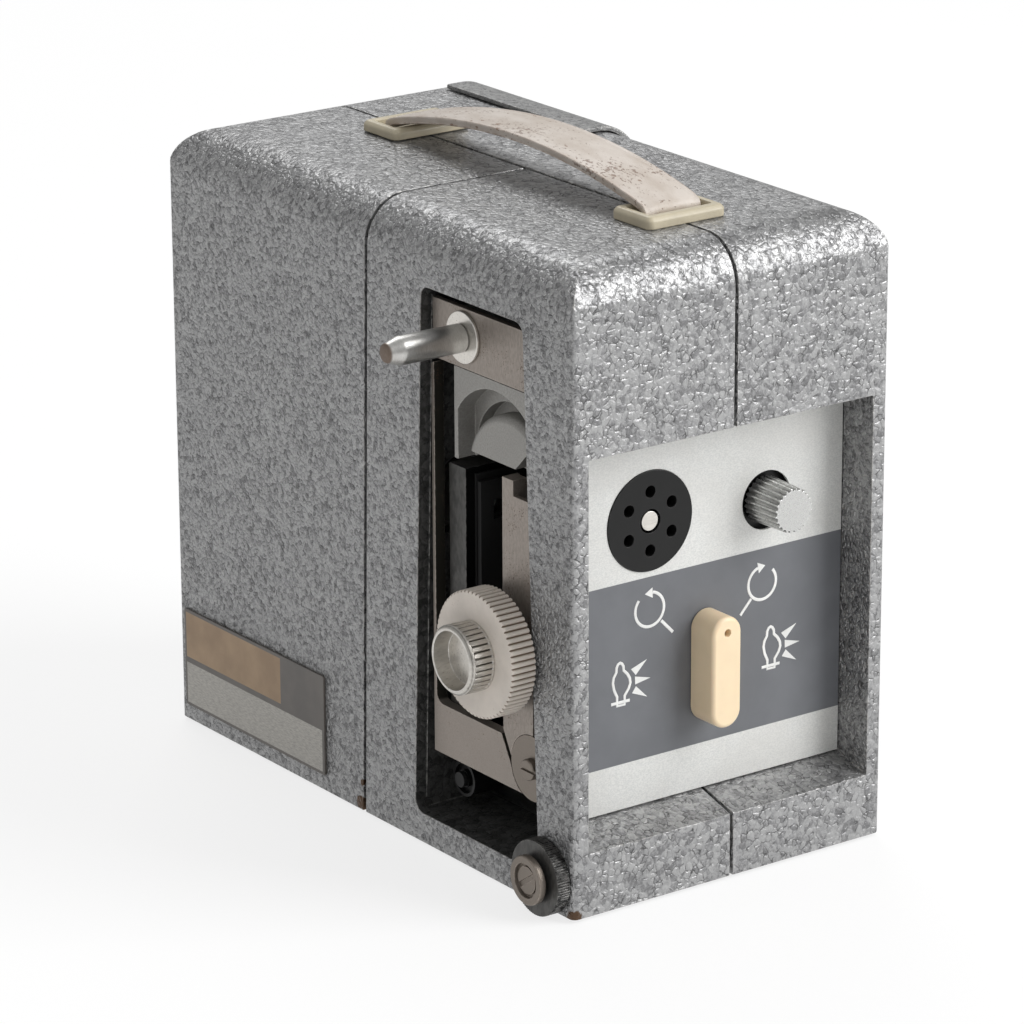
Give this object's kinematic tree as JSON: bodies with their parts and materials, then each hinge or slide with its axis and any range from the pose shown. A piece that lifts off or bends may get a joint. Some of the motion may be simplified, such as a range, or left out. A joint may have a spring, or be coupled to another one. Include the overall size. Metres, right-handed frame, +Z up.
{
  "type": "film projector",
  "caption": "Compact portable film projector in a hammertone metal case with a strap handle, a side threading window and a front control panel",
  "frame": {"origin": "centre of the footprint, on the surface the projector stands on", "axes": "+Z up, +Y towards the lens end, -Y towards the control panel, -X the film gate side"},
  "size_m": [0.1398, 0.204, 0.2035],
  "materials": {
    "hammertone": "silver-grey hammertone paint on cast shells",
    "plate_metal": "printed thin plate, tan over silver",
    "zinc_sheet": "zinc-plated sheet",
    "zinc_steel": "dull plated steel",
    "rubber_black": "matte black rubber",
    "strap_leather": "worn pale grey leather",
    "beige_plastic": "beige-grey moulding",
    "panel_metal": "silver panel with a dark grey printed field",
    "black_plastic": "black moulding",
    "bright_metal": "turned metal",
    "knob_metal": "turned aluminium with flutes",
    "ivory_plastic": "ivory moulding",
    "brown_plastic": "brown phenolic",
    "aged_steel": "dull steel with rust specks",
    "grey_casting": "plain die casting",
    "spring_steel": "spring steel",
    "cream_plastic": "aged cream moulding",
    "blackened_sheet": "blackened sheet",
    "motor_paint": "dark motor paint",
    "mirror_glass": "front-surface mirror",
    "clear_glass": "clear glass",
    "reflector_metal": "polished bowl",
    "ceramic": "glazed ceramic",
    "lamination_steel": "varnished laminations",
    "coil_wrap": "varnished winding tape",
    "blackened_steel": "blackened knurled steel"
  },
  "bodies": {
    "base": {"right_shell": "hammertone", "gate_side_shell": "hammertone", "base_plate": "zinc_sheet", "housing_screws": "zinc_steel", "rubber_feet": "rubber_black", "door_hinge_pin": "zinc_steel", "handle_strap": "strap_leather", "handle_bracket_front": "beige_plastic", "handle_bracket_rear": "beige_plastic", "control_panel": "panel_metal", "round_socket": "black_plastic", "socket_pin": "bright_metal", "rotary_control": "black_plastic", "selector_switch": "brown_plastic", "gate_frame": "aged_steel", "spindle_plate": "aged_steel", "spindle_bush": "bright_metal", "gate_casting": "grey_casting", "loop_former": "grey_casting", "gate_block": "grey_casting", "aperture_plate": "bright_metal", "pivot_screw": "zinc_steel", "shaft_bracket": "zinc_sheet", "drive_belts": "rubber_black", "motor_body": "motor_paint", "chassis_plate": "zinc_sheet", "mechanism_posts": "bright_metal", "fold_mirror": "mirror_glass", "lamp_bench": "zinc_sheet", "condenser_lenses": "clear_glass", "reflector": "reflector_metal", "lamp_bulb": "clear_glass", "lamp_socket": "ceramic", "lens_mount": "grey_casting", "transformer_core": "lamination_steel", "transformer_coil": "coil_wrap", "mains_inlet": "brown_plastic"},
    "drive": {"inching_wheel": "cream_plastic", "hub_cup": "bright_metal", "drive_shaft": "bright_metal"},
    "spindle": {"reel_spindle": "bright_metal"},
    "sprocket": {"film_sprocket": "bright_metal"},
    "shutter_wheel": {"shutter": "blackened_sheet"},
    "motor_rotor": {"motor_shaft": "spring_steel", "fan_impeller": "zinc_sheet"},
    "lever": {"gate_lever": "aged_steel", "pressure_pad": "spring_steel", "lever_spring": "spring_steel", "pivot_disc": "bright_metal"},
    "roller": {"guide_roller": "black_plastic"},
    "selector": {"selector_handle": "ivory_plastic"},
    "knob": {"fluted_knob": "knob_metal"},
    "lens": {"lens_barrel": "knob_metal", "lens_elements": "clear_glass"},
    "door": {"service_door": "hammertone"},
    "cover": {"rear_side_cover": "hammertone", "nameplate": "plate_metal"},
    "tilt": {"tilt_knob": "blackened_steel", "tilt_cap": "brown_plastic", "tilt_screw": "zinc_steel"}
  },
  "joints": [
    {"name": "drive_turn", "type": "hinge", "parent": "base", "child": "drive", "pos_m": [-0.04, -0.0675, 0.0727], "axis": [1, 0, 0], "continuous": true},
    {"name": "spindle_turn", "type": "hinge", "parent": "base", "child": "spindle", "pos_m": [-0.045, -0.0465, 0.1586], "axis": [1, 0, 0], "continuous": true},
    {"name": "sprocket_turn", "type": "hinge", "parent": "base", "child": "sprocket", "pos_m": [-0.03, -0.053, 0.0505], "axis": [1, 0, 0], "continuous": true},
    {"name": "shutter_turn", "type": "hinge", "parent": "base", "child": "shutter_wheel", "pos_m": [-0.021, -0.031, 0.087], "axis": [1, 0, 0], "continuous": true},
    {"name": "motor_turn", "type": "hinge", "parent": "base", "child": "motor_rotor", "pos_m": [0, 0.008, 0.042], "axis": [1, 0, 0], "continuous": true},
    {"name": "lever_open", "type": "hinge", "parent": "base", "child": "lever", "pos_m": [-0.051, -0.0779, 0.0388], "axis": [1, 0, 0], "range_deg": [0, 3.5], "stiffness_Nm_per_rad": 0.05},
    {"name": "roller_turn", "type": "hinge", "parent": "base", "child": "roller", "pos_m": [-0.041, -0.0368, 0.0215], "axis": [1, 0, 0], "continuous": true},
    {"name": "selector_turn", "type": "hinge", "parent": "base", "child": "selector", "pos_m": [0.0004, -0.09, 0.0623], "axis": [0, 1, 0], "range_deg": [-90, 90]},
    {"name": "knob_turn", "type": "hinge", "parent": "base", "child": "knob", "pos_m": [0.0225, -0.09, 0.1069], "axis": [0, 1, 0], "range_deg": [-135, 135]},
    {"name": "lens_focus", "type": "slide", "parent": "base", "child": "lens", "axis": [0, 1, 0], "range_m": [-0.003, 0.003]},
    {"name": "door_open", "type": "hinge", "parent": "base", "child": "door", "pos_m": [0.0582, 0.052, 0.0955], "axis": [0, 1, 0], "range_deg": [0, 110]},
    {"name": "cover_off", "type": "slide", "parent": "base", "child": "cover", "axis": [-1, 0, 0], "range_m": [0, 0.065]},
    {"name": "tilt_turn", "type": "hinge", "parent": "base", "child": "tilt", "pos_m": [-0.056, -0.0899, 0.0114], "axis": [1, 0, 0], "range_deg": [-180, 180]}
  ],
  "couplings": [
    {"joint": "motor_turn", "follows": "drive_turn", "ratio": 2.4},
    {"joint": "shutter_turn", "follows": "drive_turn", "ratio": 1.5},
    {"joint": "sprocket_turn", "follows": "drive_turn", "ratio": 1.6}
  ]
}
